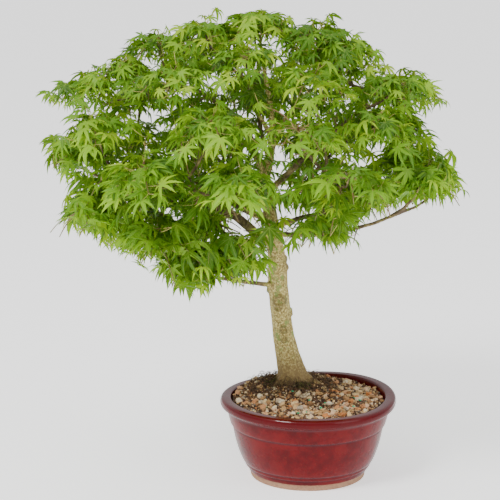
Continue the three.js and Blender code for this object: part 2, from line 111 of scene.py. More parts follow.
# ---- The pot: thrown stoneware with a dark red gloss glaze ----
# A flat rolled lip stands over a plain band, the wall swells down to a narrow foot, and lines
# are turned into it under the band and above the foot. The foot ring is left bare clay.
# Radii and heights are in millimetres, from the pot's axis and the table.
POT_OUTSIDE = [
    (0, 3), (30, 3), (53, 3), (55.5, 2.2), (57.5, 0.3), (58.5, 0), (64, 0), (65, 0.7), (65.5, 3),
    (66, 6.4), (66.4, 7), (67.4, 7.6), (68.2, 9.5), (68.8, 11.2), (68.9, 12.2), (69.5, 12.9),
    (71, 13.2), (71.9, 14.6), (72.3, 16.4), (72.4, 17.2), (73, 17.9), (74.2, 18.9), (76.8, 24.4),
    (79.9, 33), (82.2, 41), (84, 49), (85.2, 55), (85.7, 58.2), (85.6, 59.4), (86, 60.3),
    (87.4, 60.9), (88.4, 62.4), (89.8, 67), (91, 72), (91.7, 76), (92.3, 78), (93.8, 79.5),
    (96.8, 80.6), (98.9, 82.2), (99.8, 84.4), (99.9, 86.4), (99.3, 88.6), (98, 90.1), (96.2, 90.8),
    (94, 91),
]
POT_INSIDE = [
    (90, 91), (88.6, 90.8), (87.7, 90), (87.2, 88.4), (85.8, 83), (83.2, 74), (79.4, 60), (74, 42),
    (68, 26), (60, 14), (54, 10), (0, 10),
]
POT_LINES = [(12.2, 0.9), (17.3, 0.9), (59.6, 0.9), (78.4, 1.3)]  # height and half width of each turned line


def smooth_path(points, per_span):
    """The points, with per_span - 1 more between each two of them on a smooth curve."""
    points = [Vector(p) for p in points]
    path = []
    for i in range(len(points) - 1):
        before, start = points[max(i - 1, 0)], points[i]
        end, after = points[i + 1], points[min(i + 2, len(points) - 1)]
        for j in range(per_span):
            t = j / per_span
            path.append(
                0.5 * ((2 * start) + (end - before) * t + (2 * before - 5 * start + 4 * end - after) * t**2
                       + (3 * start - before - 3 * end + after) * t**3)
            )
    return path + [points[-1]]


def new_piece(name, vertices, faces, material=None, smooth=True):
    """A mesh object from vertices in metres, at the origin."""
    mesh = bpy.data.meshes.new(name)
    mesh.from_pydata([tuple(v) for v in vertices], [], faces)
    if smooth:
        mesh.polygons.foreach_set("use_smooth", [True] * len(mesh.polygons))
    if material:
        mesh.materials.append(material)
    piece = bpy.data.objects.new(name, mesh)
    bpy.context.scene.collection.objects.link(piece)
    return piece


def turned(name, profile, sides, middle):
    """A turned solid round a vertical axis through middle, from radii and heights in millimetres."""
    vertices, rings = [], []
    for radius, height in profile:
        radius, height = radius / 1000, height / 1000
        first = len(vertices)
        if radius < 1e-6:
            vertices.append(middle + Vector((0, 0, height)))
            rings.append([first] * sides)
            continue
        for i in range(sides):
            angle = 2 * math.pi * i / sides
            vertices.append(middle + Vector((radius * math.cos(angle), radius * math.sin(angle), height)))
        rings.append(list(range(first, first + sides)))
    faces = []
    for low, high in zip(rings, rings[1:]):
        for i in range(sides):
            j = (i + 1) % sides
            corners = [low[i], low[j], high[j], high[i]]
            corners = [c for k, c in enumerate(corners) if c not in corners[:k]]
            if len(corners) > 2:
                faces.append(corners)
    piece = new_piece(name, vertices, faces)
    shape = bmesh.new()
    shape.from_mesh(piece.data)
    bmesh.ops.recalc_face_normals(shape, faces=shape.faces)
    shape.to_mesh(piece.data)
    shape.free()
    return piece


outside = [(max(p.x, 0), max(p.y, 0)) for p in smooth_path(POT_OUTSIDE[3:], 3)]
inside = [(max(p.x, 0), p.y) for p in smooth_path(POT_INSIDE, 2)]
pot = turned("stoneware_pot", POT_OUTSIDE[:3] + outside + inside, 160, pot_middle)
for vertex in pot.data.vertices:  # the rim dried a little out of level
    out = (vertex.co - pot_middle).dot(Vector((0.8, 0.6, 0))) / 0.1
    vertex.co.z += (0.0055 if out > 0 else 0.001) * out**2 * (vertex.co.z / 0.091) ** 3

drain_cutters = []
for side in (-1, 1):
    clip_node = "screen_clip_left" if side < 0 else "screen_clip_right"
    drain_low, drain_high = (Vector(corner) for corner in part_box(clip_node))
    drain_middle = (drain_low + drain_high) / 2
    cutter_foot = Vector((drain_middle.x, drain_middle.y, 0))
    cutter = turned("drain_cutter", [(0, -4), (9, -4), (9, 20), (0, 20)], 32, cutter_foot)
    hole = pot.modifiers.new("drain_hole", "BOOLEAN")
    hole.object, hole.solver = cutter, "EXACT"
    drain_cutters.append(cutter)


def settle(piece):
    """Replaces the piece's mesh by what its modifiers make, and removes them."""
    depsgraph = bpy.context.evaluated_depsgraph_get()
    made = bpy.data.meshes.new_from_object(piece.evaluated_get(depsgraph))
    piece.modifiers.clear()
    piece.data = made
    made.name = piece.name
    return piece


settle(pot)
for cutter in drain_cutters:
    bpy.data.objects.remove(cutter)


def paint(piece, name, amount):
    """Gives every vertex a number that a material can read. amount takes the vertex's place."""
    layer = piece.data.attributes.new(name, "FLOAT", "POINT")
    layer.data.foreach_set("value", [amount(v.co) for v in piece.data.vertices])


def turned_line(place):
    return max(math.exp(-(((place.z * 1000 - height) / half) ** 2)) for height, half in POT_LINES)


paint(pot, "line", turned_line)


class Number:
    """One value of a material's nodes, that ordinary arithmetic works on."""

    def __init__(self, finish, socket):
        self.finish, self.socket = finish, socket

    def maths(self, operation, first, second):
        return self.finish.node("ShaderNodeMath", {"operation": operation}, {0: first, 1: second})

    def __add__(self, other):
        return self.maths("ADD", self, other)

    def __sub__(self, other):
        return self.maths("SUBTRACT", self, other)

    def __rsub__(self, other):
        return self.maths("SUBTRACT", other, self)

    def __mul__(self, other):
        return self.maths("MULTIPLY", self, other)

    __radd__ = __add__
    __rmul__ = __mul__


class Finish:
    """A node material under construction: its shader's sockets are set by name."""

    def __init__(self, name):
        self.material = bpy.data.materials.new(name)
        self.material.use_nodes = True
        self.tree = self.material.node_tree
        self.shader = self.tree.nodes["Principled BSDF"]

    def node(self, kind, settings, sockets, out=0):
        made = self.tree.nodes.new(kind)
        for name, value in settings.items():
            if name != "stops":
                setattr(made, name, value)
                continue
            for i, (place, tint) in enumerate(value):
                stop = made.color_ramp.elements[i] if i < 2 else made.color_ramp.elements.new(place)
                stop.position, stop.color = place, tint
        for key, value in sockets.items():
            self.put(made.inputs[key], value)
        return Number(self, made.outputs[out])

    def put(self, socket, value):
        if isinstance(value, Number):
            self.tree.links.new(value.socket, socket)
        else:
            socket.default_value = value

    def set(self, **sockets):
        for name, value in sockets.items():
            self.put(self.shader.inputs[name.replace("_", " ")], value)

    def place(self):
        return self.node("ShaderNodeTexCoord", {}, {}, "Object")

    def painted(self, name):
        return self.node("ShaderNodeAttribute", {"attribute_name": name}, {}, "Fac")

    def cloud(self, scale, detail=4.0, roughness=0.5, at=None, stretch=None):
        """Soft noise, scale in features per metre, stretched along each axis if stretch is given."""
        at = at or self.place()
        if stretch:
            at = self.node("ShaderNodeMapping", {}, {"Vector": at, "Scale": stretch})
        sockets = {"Vector": at, "Scale": scale, "Detail": detail, "Roughness": roughness}
        return self.node("ShaderNodeTexNoise", {}, sockets)

    def between(self, value, low, high, to_low=0.0, to_high=1.0):
        """value moved smoothly from low..high to to_low..to_high, and held at both ends."""
        return self.node(
            "ShaderNodeMapRange", {"interpolation_type": "SMOOTHSTEP"},
            {"Value": value, "From Min": low, "From Max": high, "To Min": to_low, "To Max": to_high},
        )

    def blend(self, amount, first, second):
        return self.node("ShaderNodeMix", {"data_type": "RGBA"}, {0: amount, 6: first, 7: second}, 2)

    def ramp(self, value, stops):
        return self.node("ShaderNodeValToRGB", {"stops": stops}, {"Fac": value})

    def bumps(self, height, depth):
        """A normal for a surface whose height runs from 0 to 1, depth metres apart."""
        return self.node("ShaderNodeBump", {}, {"Height": height, "Distance": depth, "Strength": 1.0})


def tone(red, green, blue):
    """A colour from its everyday 0 to 255 values."""
    def linear(v):
        v /= 255
        return v / 12.92 if v < 0.04045 else ((v + 0.055) / 1.055) ** 2.4
    return (linear(red), linear(green), linear(blue), 1.0)


glaze = Finish("red_glaze")
pooling = glaze.cloud(30, 4.0, 0.5)
mottling = glaze.cloud(110, 5.0, 0.6)
specks = glaze.cloud(520, 3.0, 0.6)
height = glaze.node("ShaderNodeSeparateXYZ", {}, {0: glaze.place()}, 2)
glaze_colour = glaze.ramp(
    glaze.between(pooling * 0.55 + mottling * 0.45, 0.36, 0.64),
    [(0.0, tone(80, 6, 12)), (0.5, tone(94, 8, 14)), (1.0, tone(106, 14, 17))],
)
glaze_colour = glaze.blend(glaze.between(specks, 0.6, 0.74, 0.0, 0.45), glaze_colour, tone(134, 52, 30))
glaze_colour = glaze.blend(glaze.painted("line") * 0.75, glaze_colour, tone(78, 48, 54))
# Painted shade: from the lip upwards the glaze is painted a darker red, for the dark reflection along the
# lip's outer face.
lip = glaze.between(height, 0.077, 0.081)
glaze_colour = glaze.blend(lip * 0.85, glaze_colour, tone(80, 0, 6))
bare_edge = height + (glaze.cloud(60, 3.0) - 0.5) * 0.0016
bare = glaze.between(bare_edge, 0.0066, 0.0072, 1.0, 0.0)
clay_colour = glaze.blend(glaze.cloud(260, 5.0, 0.65), tone(128, 92, 72), tone(186, 150, 122))
glaze.set(
    Base_Color=glaze.blend(bare, glaze_colour, clay_colour),
    Roughness=glaze.between(pooling, 0.3, 0.7, 0.2, 0.32) + bare * 0.6,
    Coat_Weight=(1 - bare) * glaze.between(height, 0.087, 0.0905, 0.08, 0.5),
    Coat_Roughness=0.05,
    Normal=glaze.bumps(
        pooling * 0.5 + mottling * 0.2 + specks * 0.05 + bare * glaze.cloud(900, 4.0, 0.6) * 0.4, 0.0012
    ),
)
glaze.shader.inputs["Specular IOR Level"].default_value = 0.12
pot.data.materials.clear()
pot.data.materials.append(glaze.material)
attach(pot, "root")
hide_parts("pot")

# ---- The drain screens and the wire clips that hold them over the holes ----
# Square pieces of moulded plastic mesh lie on the floor of the pot, each held down by a wire
# that is bent out under the floor.
screen_plastic = Finish("screen_plastic")
screen_plastic.set(
    Base_Color=screen_plastic.blend(screen_plastic.cloud(300), tone(28, 30, 32), tone(50, 52, 54)),
    Roughness=screen_plastic.between(screen_plastic.cloud(160), 0.3, 0.7, 0.5, 0.75),
    Normal=screen_plastic.bumps(screen_plastic.cloud(2500, 2.0), 0.0001),
)
clip_wire = Finish("clip_wire")
clip_wire.set(
    Base_Color=clip_wire.blend(clip_wire.cloud(500), tone(150, 152, 154), tone(196, 198, 200)),
    Metallic=1.0,
    Roughness=clip_wire.between(clip_wire.cloud(700), 0.3, 0.7, 0.25, 0.45),
)


def refinish(node, material):
    """Gives a CAD node's own surface a finished material."""
    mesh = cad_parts[node].data
    mesh.materials.clear()
    mesh.materials.append(material)


for side in ("left", "right"):
    refinish(f"drain_screen_{side}", screen_plastic.material)
    refinish(f"screen_clip_{side}", clip_wire.material)

# ---- The potting mix: dark fibrous compost that fills the pot ----
# It shows only through the drain screens and between the chips of grit.
compost = Finish("compost")
crumbs = compost.cloud(320, 6.0, 0.7)
compost.set(
    Base_Color=compost.ramp(
        compost.between(crumbs, 0.3, 0.7),
        [(0.0, tone(34, 22, 15)), (0.55, tone(70, 48, 34)), (1.0, tone(116, 86, 62))],
    ),
    Roughness=0.95,
    Normal=compost.bumps(crumbs + compost.cloud(1400, 3.0) * 0.4, 0.0015),
)
refinish("potting_mix", compost.material)

# ---- The grit: crushed stone, bark and humus spread over the mix ----
# The bed under it rises to the trunk. Chips of cream, tan, orange, grey and brown stone lie on it
# with smaller crumbs of humus between them, more of those near the trunk, and a few green
# fertiliser grains.
grit_low, grit_high = (Vector(corner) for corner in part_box("grit_layer"))
GRIT_RADIUS = (grit_high.x - grit_low.x) / 2 - 0.0002
GRIT_EDGE = grit_low.z + 0.0035
TRUNK_FOOT = pot_middle + Vector((-0.017, 0.030, 0))
MOUND_HEIGHT = 0.014
MOUND_SPREAD = 0.036
CHIPS, FERTILISER_GRAINS = 6600, 11


def ground(x, y):
    """The height of the grit at a place in the pot."""
    from_trunk = (Vector((x, y, 0)) - TRUNK_FOOT).length
    return GRIT_EDGE + MOUND_HEIGHT * math.exp(-(from_trunk**2) / (2 * MOUND_SPREAD**2))


bed_profile = [(0, 0), (40, 0), (GRIT_RADIUS * 1000, 0), (GRIT_RADIUS * 1000, 2)]
bed_profile += [(GRIT_RADIUS * 1000 * (1 - i / 46), 3) for i in range(47)]
bed = turned("grit_bed", bed_profile, 120, Vector((pot_middle.x, pot_middle.y, 0)))
for vertex in bed.data.vertices:
    lift = ground(vertex.co.x, vertex.co.y) - GRIT_EDGE
    rough = noise.noise(vertex.co * 260) * 0.0007 + noise.noise(vertex.co * 700) * 0.0005
    top = vertex.co.z > 0.0025
    vertex.co.z = grit_low.z + vertex.co.z + lift + (rough - 0.0004 if top else 0.0005)
bed.data.materials.append(compost.material)
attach(bed, "root")


def scatter_tree(name):
    """Nodes that put one of the shapes at each point, aimed, sized and picked by the point's own
    values, turned a little at random, and made one mesh."""
    tree = bpy.data.node_groups.new(name, "GeometryNodeTree")
    for label, kind in (
        ("Geometry", "NodeSocketGeometry"), ("Shapes", "NodeSocketCollection"), ("Turn", "NodeSocketFloat"),
        ("Seed", "NodeSocketInt"), ("Material", "NodeSocketMaterial"),
    ):
        tree.interface.new_socket(label, in_out="INPUT", socket_type=kind)
    tree.interface.new_socket("Geometry", in_out="OUTPUT", socket_type="NodeSocketGeometry")

    def node(kind, settings=(), **links):
        made = tree.nodes.new(kind)
        for key, value in dict(settings).items():
            setattr(made, key, value)
        for key, value in links.items():
            numbered = key[0] == "i" and key[1:].isdigit()
            socket = made.inputs[int(key[1:]) if numbered else key.replace("_", " ")]
            if isinstance(value, bpy.types.NodeSocket):
                tree.links.new(value, socket)
            else:
                socket.default_value = value
        return made

    given = tree.nodes.new("NodeGroupInput")
    aim = node("GeometryNodeInputNamedAttribute", {"data_type": "FLOAT_VECTOR"}, Name="aim")
    face = node("GeometryNodeInputNamedAttribute", {"data_type": "FLOAT_VECTOR"}, Name="face")
    size = node("GeometryNodeInputNamedAttribute", {"data_type": "FLOAT"}, Name="size")
    pick = node("GeometryNodeInputNamedAttribute", {"data_type": "INT"}, Name="pick")
    along = node("FunctionNodeAlignRotationToVector", {"axis": "Y"}, Vector=aim.outputs[0])
    facing = node(
        "FunctionNodeAlignRotationToVector", {"axis": "Z", "pivot_axis": "Y"},
        Rotation=along.outputs[0], Vector=face.outputs[0],
    )
    less = node("ShaderNodeMath", {"operation": "MULTIPLY"}, i0=given.outputs["Turn"], i1=-1.0)
    low = node("ShaderNodeCombineXYZ", i0=less.outputs[0], i1=less.outputs[0], i2=less.outputs[0])
    more = given.outputs["Turn"]
    high = node("ShaderNodeCombineXYZ", i0=more, i1=more, i2=more)
    stray = node(
        "FunctionNodeRandomValue", {"data_type": "FLOAT_VECTOR"},
        i0=low.outputs[0], i1=high.outputs[0], Seed=given.outputs["Seed"],
    )
    turn = node("FunctionNodeEulerToRotation", Euler=stray.outputs[0])
    rotation = node(
        "FunctionNodeRotateRotation", {"rotation_space": "LOCAL"},
        Rotation=facing.outputs[0], Rotate_By=turn.outputs[0],
    )
    shapes = node(
        "GeometryNodeCollectionInfo",
        Collection=given.outputs["Shapes"], Separate_Children=True, Reset_Children=True,
    )
    placed = node(
        "GeometryNodeInstanceOnPoints",
        Points=given.outputs["Geometry"], Instance=shapes.outputs[0], Pick_Instance=True,
        Instance_Index=pick.outputs[0], Rotation=rotation.outputs[0], Scale=size.outputs[0],
    )
    real = node("GeometryNodeRealizeInstances", Geometry=placed.outputs[0])
    dressed = node("GeometryNodeSetMaterial", Geometry=real.outputs[0], Material=given.outputs["Material"])
    done = tree.nodes.new("NodeGroupOutput")
    tree.links.new(dressed.outputs[0], done.inputs[0])
    return tree


scatter = scatter_tree("scatter")
POINT_VALUES = {
    "aim": "FLOAT_VECTOR", "face": "FLOAT_VECTOR", "size": "FLOAT", "pick": "INT", "tint": "FLOAT",
}


def scattered(name, points, shapes, material, turn, seed, smooth=True):
    """A piece made of shapes at points, each a dict of place, aim, face, size, pick and tint."""
    piece = new_piece(name, [p["place"] for p in points], [])
    for key, kind in POINT_VALUES.items():
        layer = piece.data.attributes.new(key, kind, "POINT")
        if kind == "FLOAT_VECTOR":
            layer.data.foreach_set("vector", [c for p in points for c in p[key]])
        else:
            layer.data.foreach_set("value", [p[key] for p in points])
    maker = piece.modifiers.new("scatter", "NODES")
    maker.node_group = scatter
    sockets = {item.name: item.identifier for item in scatter.interface.items_tree if item.in_out == "INPUT"}
    maker[sockets["Shapes"]] = shapes
    maker[sockets["Turn"]] = turn
    maker[sockets["Seed"]] = seed
    maker[sockets["Material"]] = material
    settle(piece)
    if smooth:
        piece.data.polygons.foreach_set("use_smooth", [True] * len(piece.data.polygons))
    return piece


def shape_set(name, shapes):
    """A collection of shapes to scatter, outside the scene."""
    kept = bpy.data.collections.new(name)
    for shape in shapes:
        bpy.context.scene.collection.objects.unlink(shape)
        kept.objects.link(shape)
    return kept


def chip_shape(name, seed, detail, flatness):
    """One broken chip, about 1 metre long before it is scaled."""
    chance = random.Random(seed)
    shape = bmesh.new()
    bmesh.ops.create_icosphere(shape, subdivisions=detail, radius=0.5)
    stray = Vector((chance.random(), chance.random(), chance.random())) * 50
    for vertex in shape.verts:
        grow = 1 + 0.7 * noise.noise(vertex.co * 2.4 + stray) + chance.uniform(-0.16, 0.16)
        vertex.co *= grow
        vertex.co.x *= 0.8
        vertex.co.z *= flatness
    mesh = bpy.data.meshes.new(name)
    shape.to_mesh(mesh)
    shape.free()
    chip = bpy.data.objects.new(name, mesh)
    bpy.context.scene.collection.objects.link(chip)
    return chip


LARGE_CHIPS, ALL_CHIPS = 4, 9  # the first few chip shapes have more faces, for the larger stones
chips = shape_set("chips", [
    chip_shape(f"chip_{i}", 40 + i, 2 if i < LARGE_CHIPS else 1, 0.5 + 0.06 * (i % 5))
    for i in range(ALL_CHIPS)
])

grit_stone = Finish("grit_stone")
chip_tint = grit_stone.painted("tint")
chip_colour = grit_stone.node(
    "ShaderNodeValToRGB",
    {"stops": [
        (0.0, tone(46, 28, 18)), (1.0, tone(40, 200, 140)), (0.16, tone(80, 50, 31)),
        (0.32, tone(118, 82, 54)), (0.44, tone(166, 122, 78)), (0.56, tone(212, 168, 112)),
        (0.66, tone(238, 204, 152)), (0.73, tone(160, 146, 132)), (0.80, tone(88, 70, 58)),
        (0.87, tone(204, 128, 68)), (0.94, tone(240, 220, 184)), (0.975, tone(240, 222, 190)),
        (0.985, tone(40, 200, 140)),
    ]},
    {"Fac": chip_tint},
)
grain = grit_stone.cloud(900, 4.0, 0.6)
grit_stone.set(
    Base_Color=grit_stone.blend(
        grit_stone.between(grain, 0.35, 0.7, 0.0, 0.35), chip_colour, tone(70, 52, 40)
    ),
    Roughness=grit_stone.between(grain, 0.3, 0.7, 0.65, 0.9),
    Normal=grit_stone.bumps(grain, 0.0004),
)

chance = random.Random(7)
grit_points = []
for _ in range(CHIPS):
    reach = GRIT_RADIUS * 0.985 * math.sqrt(chance.random())
    angle = chance.uniform(0, 2 * math.pi)
    x, y = pot_middle.x + reach * math.cos(angle), pot_middle.y + reach * math.sin(angle)
    from_trunk = (Vector((x, y, 0)) - TRUNK_FOOT).length
    if from_trunk < 0.017:
        continue
    near = math.exp(-((from_trunk / (0.050 if y > TRUNK_FOOT.y - 0.02 else 0.042)) ** 2))
    humus = chance.random() < 0.44 + 0.54 * near
    large = not humus and chance.random() < 0.06 * (1 - near)
    if large:
        size = chance.uniform(0.0056, 0.0088)
        tint = chance.choice((chance.uniform(0.40, 0.72), chance.uniform(0.86, 0.95)))
        pick = chance.randrange(LARGE_CHIPS)
    elif humus:
        size, tint = chance.uniform(0.0012, 0.0036), chance.uniform(0.02, 0.36)
        pick = chance.randrange(LARGE_CHIPS, ALL_CHIPS)
    else:
        size, tint = chance.uniform(0.0016, 0.0044), chance.uniform(0.12, 0.97)
        pick = chance.randrange(LARGE_CHIPS, ALL_CHIPS)
    size = min(size, 2 * (GRIT_RADIUS - reach) + 0.0022)
    grit_points.append({
        "place": (x, y, ground(x, y) + size * chance.uniform(0.0, 0.22)),
        "aim": (chance.uniform(-1, 1), chance.uniform(-1, 1), chance.uniform(-0.35, 0.35)),
        "face": (chance.uniform(-0.5, 0.5), chance.uniform(-0.5, 0.5), 1),
        "size": size, "pick": pick, "tint": tint,
    })
for _ in range(FERTILISER_GRAINS):
    angle, reach = chance.uniform(3.4, 6.2), chance.uniform(0.012, 0.07)
    x, y = pot_middle.x + reach * math.cos(angle), pot_middle.y + reach * math.sin(angle)
    grit_points.append({
        "place": (x, y, ground(x, y) + 0.0016), "aim": (1, 0, 0), "face": (0, 0, 1),
        "size": 0.0034, "pick": 5, "tint": 1.0,
    })
grit = scattered("grit_chips", grit_points, chips, grit_stone.material, turn=0.5, seed=3, smooth=False)
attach(grit, "root")
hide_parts("grit_layer")

# ---- The larger stones: worn pieces that lie loose on the grit ----
# Each keeps the place and size of its solid, with its faces broken up and its edges worn.
pebble = Finish("pebble")
veins = pebble.cloud(160, 5.0, 0.6)
pebble.set(
    Base_Color=pebble.ramp(
        pebble.between(veins, 0.3, 0.72),
        [(0.0, tone(124, 104, 82)), (0.5, tone(188, 168, 136)), (1.0, tone(226, 214, 188))],
    ),
    Roughness=pebble.between(veins, 0.3, 0.7, 0.55, 0.85),
    Normal=pebble.bumps(pebble.cloud(700, 4.0, 0.6), 0.0006),
)
for node in [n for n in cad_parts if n.startswith("stone_")]:
    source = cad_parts[node].data.copy()
    shape = bmesh.new()
    shape.from_mesh(source)
    bmesh.ops.remove_doubles(shape, verts=shape.verts, dist=1e-6)
    bmesh.ops.subdivide_edges(shape, edges=shape.edges, cuts=3, use_grid_fill=True, smooth=0.6)
    middle = sum((v.co for v in shape.verts), Vector()) / len(shape.verts)
    for vertex in shape.verts:
        vertex.co += (vertex.co - middle) * 0.12 * noise.noise(vertex.co * 420)
    shape.to_mesh(source)
    shape.free()
    source.materials.clear()
    source.materials.append(pebble.material)
    source.polygons.foreach_set("use_smooth", [True] * len(source.polygons))
    pebble_piece = bpy.data.objects.new(f"worn_{node}", source)
    bpy.context.scene.collection.objects.link(pebble_piece)
    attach(pebble_piece, "root")
    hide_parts(node)

# ---- The wood: a smooth grey-brown trunk that flares into surface roots, and its branches ----
# Young maple bark is tight and mottled, with pale green lichen, dark pits, and a raised ring
# with a pale middle wherever a branch was cut off. The thin branches are darker and redder.
TRUNK_LINE = [  # the trunk's middle: distances from the pot's axis, and height
    (-0.017, 0.030, 0.09), (-0.020, 0.030, 0.119), (-0.025, 0.030, 0.140), (-0.030, 0.030, 0.174),
    (-0.034, 0.030, 0.207), (-0.035, 0.026, 0.242), (-0.040, 0.022, 0.274), (-0.047, 0.020, 0.321),
    (-0.050, 0.019, 0.340), (-0.041, 0.014, 0.400),
]
KNOTS = [  # height, side seen from above in degrees, and radius of each old branch scar
    (0.197, -88, 0.0054), (0.189, -104, 0.0030), (0.164, -86, 0.0034), (0.152, -92, 0.0028),
    (0.211, 180, 0.0044), (0.240, 4, 0.0058), (0.161, 60, 0.0042), (0.204, 118, 0.0052),
    (0.232, 70, 0.0044), (0.181, 20, 0.0034),
]


def trunk_middle(height):
    """The middle of the trunk at a height."""
    for low, high in zip(TRUNK_LINE, TRUNK_LINE[1:]):
        if height <= high[2] or high is TRUNK_LINE[-1]:
            share = min(max((height - low[2]) / (high[2] - low[2]), 0), 1)
            spot = Vector(low).lerp(Vector(high), share)
            return pot_middle + Vector((spot.x, spot.y, height))


WOOD_DETAIL = 0.00115  # metres between the points of the wood's surface
wood_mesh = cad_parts["trunk_and_branches"].data.copy()
shape = bmesh.new()
shape.from_mesh(wood_mesh)
bmesh.ops.remove_doubles(shape, verts=shape.verts, dist=1e-6)
shape.to_mesh(wood_mesh)
shape.free()
wood = bpy.data.objects.new("maple_wood", wood_mesh)
bpy.context.scene.collection.objects.link(wood)
skin = wood.modifiers.new("skin", "REMESH")
skin.mode, skin.voxel_size, skin.use_smooth_shade = "VOXEL", WOOD_DETAIL, True
ease = wood.modifiers.new("ease", "SMOOTH")
ease.factor, ease.iterations = 0.5, 3
settle(wood)

scars = []
for height, side, radius in KNOTS:
    middle = trunk_middle(height)
    out = Vector((math.cos(math.radians(side)), math.sin(math.radians(side)), 0))
    scars.append((middle, out, radius))
trunk_share = []
scar_share = []
normals = [v.normal.copy() for v in wood.data.vertices]
for vertex, normal in zip(wood.data.vertices, normals):
    place = vertex.co.copy()
    middle = trunk_middle(place.z)
    away = (place - middle).length
    core = min(max((0.026 - away) / 0.008, 0), 1) if place.z > 0.12 else 1
    ripple = noise.noise(Vector((place.x * 70, place.y * 70, place.z * 28))) * 0.0009
    ripple += noise.noise(Vector((place.x * 260, place.y * 260, place.z * 120))) * 0.00035
    ring, inner = 0.0, 0.0
    for scar_middle, out, radius in scars:
        offset = place - scar_middle
        if abs(offset.z) > 3 * radius or offset.dot(out) < 0.004:
            continue
        sideways = (offset - out * offset.dot(out)).length
        ring = max(ring, math.exp(-(((sideways - radius) / (0.42 * radius)) ** 2)))
        inner = max(inner, math.exp(-((sideways / (0.62 * radius)) ** 2)))
    ring, inner = min(ring, 1), min(inner, 1)
    on_limbs = (1 - core) * (ripple * 0.3 + 0.0003)
    vertex.co += normal * (core * ripple + (ring * 0.0022 - inner * 0.0012) * core + on_limbs)
    low = min(max(0, 1 - (place.z - 0.096) / 0.026), 1)  # the flare spreads most to the right
    vertex.co.x += 0.0065 * low**2 * min(max(0, (place.x - middle.x) / 0.020), 1) if core > 0.5 else 0
    trunk_share.append(core)
    worn = min(max(0.75 + 0.9 * noise.noise(place * 420), 0.1), 1)
    scar_share.append(core * max(ring, inner * 0.6) * worn)
for name, values in (("trunk", trunk_share), ("scar", scar_share)):
    layer = wood.data.attributes.new(name, "FLOAT", "POINT")
    layer.data.foreach_set("value", values)

bark = Finish("maple_bark")
at = bark.place()
on_trunk = bark.painted("trunk")
up_trunk = bark.node("ShaderNodeSeparateXYZ", {}, {0: at}, 2)
broad = bark.cloud(130, 4.0, 0.6, at)
mottle = bark.cloud(520, 5.0, 0.75, at, (1, 1, 0.8))
streak = bark.cloud(700, 4.0, 0.6, at, (1, 1, 0.12))
trunk_colour = bark.ramp(
    bark.between(mottle, 0.34, 0.64),
    [
        (0.0, tone(104, 84, 42)), (0.4, tone(154, 134, 70)),
        (0.75, tone(190, 172, 100)), (1.0, tone(226, 214, 148)),
    ],
)
lichen = bark.between(broad, 0.55, 0.63, 0.0, 0.75) * bark.between(up_trunk, 0.122, 0.150)
trunk_colour = bark.blend(lichen, trunk_colour, tone(116, 142, 66))
trunk_colour = bark.blend(bark.between(streak, 0.56, 0.74, 0.0, 0.5), trunk_colour, tone(110, 88, 52))
foot_shade = bark.between(up_trunk, 0.104, 0.150, 0.85, 0.0)
trunk_colour = bark.blend(foot_shade, trunk_colour, tone(122, 96, 58))
scar_shade = bark.painted("scar") * bark.between(mottle, 0.35, 0.62, 0.45, 0.9)
trunk_colour = bark.blend(scar_shade, trunk_colour, tone(78, 62, 36))
branch_colour = bark.ramp(
    bark.between(bark.cloud(110, 4.0, 0.6, at), 0.35, 0.68),
    [(0.0, tone(78, 62, 38)), (0.5, tone(112, 96, 58)), (1.0, tone(150, 134, 86))],
)
bark.set(
    Base_Color=bark.blend(on_trunk, branch_colour, trunk_colour),
    Roughness=bark.between(mottle, 0.3, 0.7, 0.62, 0.85),
    Normal=bark.bumps(mottle * 0.7 + streak * 0.4 + bark.cloud(1300, 3.0, 0.6, at) * 0.2, 0.0009),
)
wood.data.materials.clear()
wood.data.materials.append(bark.material)
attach(wood, "root")
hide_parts("trunk_and_branches")


# ---- The shoots and leaf stalks: this year's growth, from the branchlet tips outwards ----
# Under each leaf layer thin shoots fan out from the end of a branchlet, and a pale stalk runs
# from a shoot to the base of every leaf.
class Strands:
    """Thin tapering tubes, gathered into one mesh."""

    def __init__(self):
        self.vertices, self.faces = [], []

    def add(self, path, thick, thin, sides=4):
        rings = []
        side = Vector((0.3, 0.5, 0.8))
        for i, spot in enumerate(path):
            ahead = (path[min(i + 1, len(path) - 1)] - path[max(i - 1, 0)]).normalized()
            across = ahead.cross(side)
            if across.length < 1e-3:
                across = ahead.orthogonal()
            across.normalize()
            upright = ahead.cross(across)
            radius = thick + (thin - thick) * i / (len(path) - 1)
            rings.append(len(self.vertices))
            for j in range(sides):
                angle = 2 * math.pi * j / sides
                self.vertices.append(spot + radius * (math.cos(angle) * across + math.sin(angle) * upright))
        for low, high in zip(rings, rings[1:]):
            for j in range(sides):
                k = (j + 1) % sides
                self.faces.append((low + j, low + k, high + k, high + j))
        self.faces.append([rings[0] + j for j in reversed(range(sides))])
        self.faces.append([rings[-1] + j for j in range(sides)])


def bent(start, end, lift, count):
    """A path from start to end whose middle is raised by lift metres."""
    shares = [i / count for i in range(count + 1)]
    return [start.lerp(end, t) + Vector((0, 0, lift * 4 * t * (1 - t))) for t in shares]


LEAF_LENGTH = 0.0245  # from the stalk to the tip of the middle lobe
LEAF_LIFTS = (0, 0.007, 0.014, 0.021, 0.028)  # tried in turn on a leaf that would hang under the crown
HALF_WIDTH, HALF_DEPTH, TALLEST = 0.246, 0.218, 0.53  # no leaf tip reaches further from the plant's middle
UP = Vector((0, 0, 1))
VIEW_DISTANCE, VIEW_SLOPE = 1.9, 0.2  # of the front view that the crown's outline is drawn in
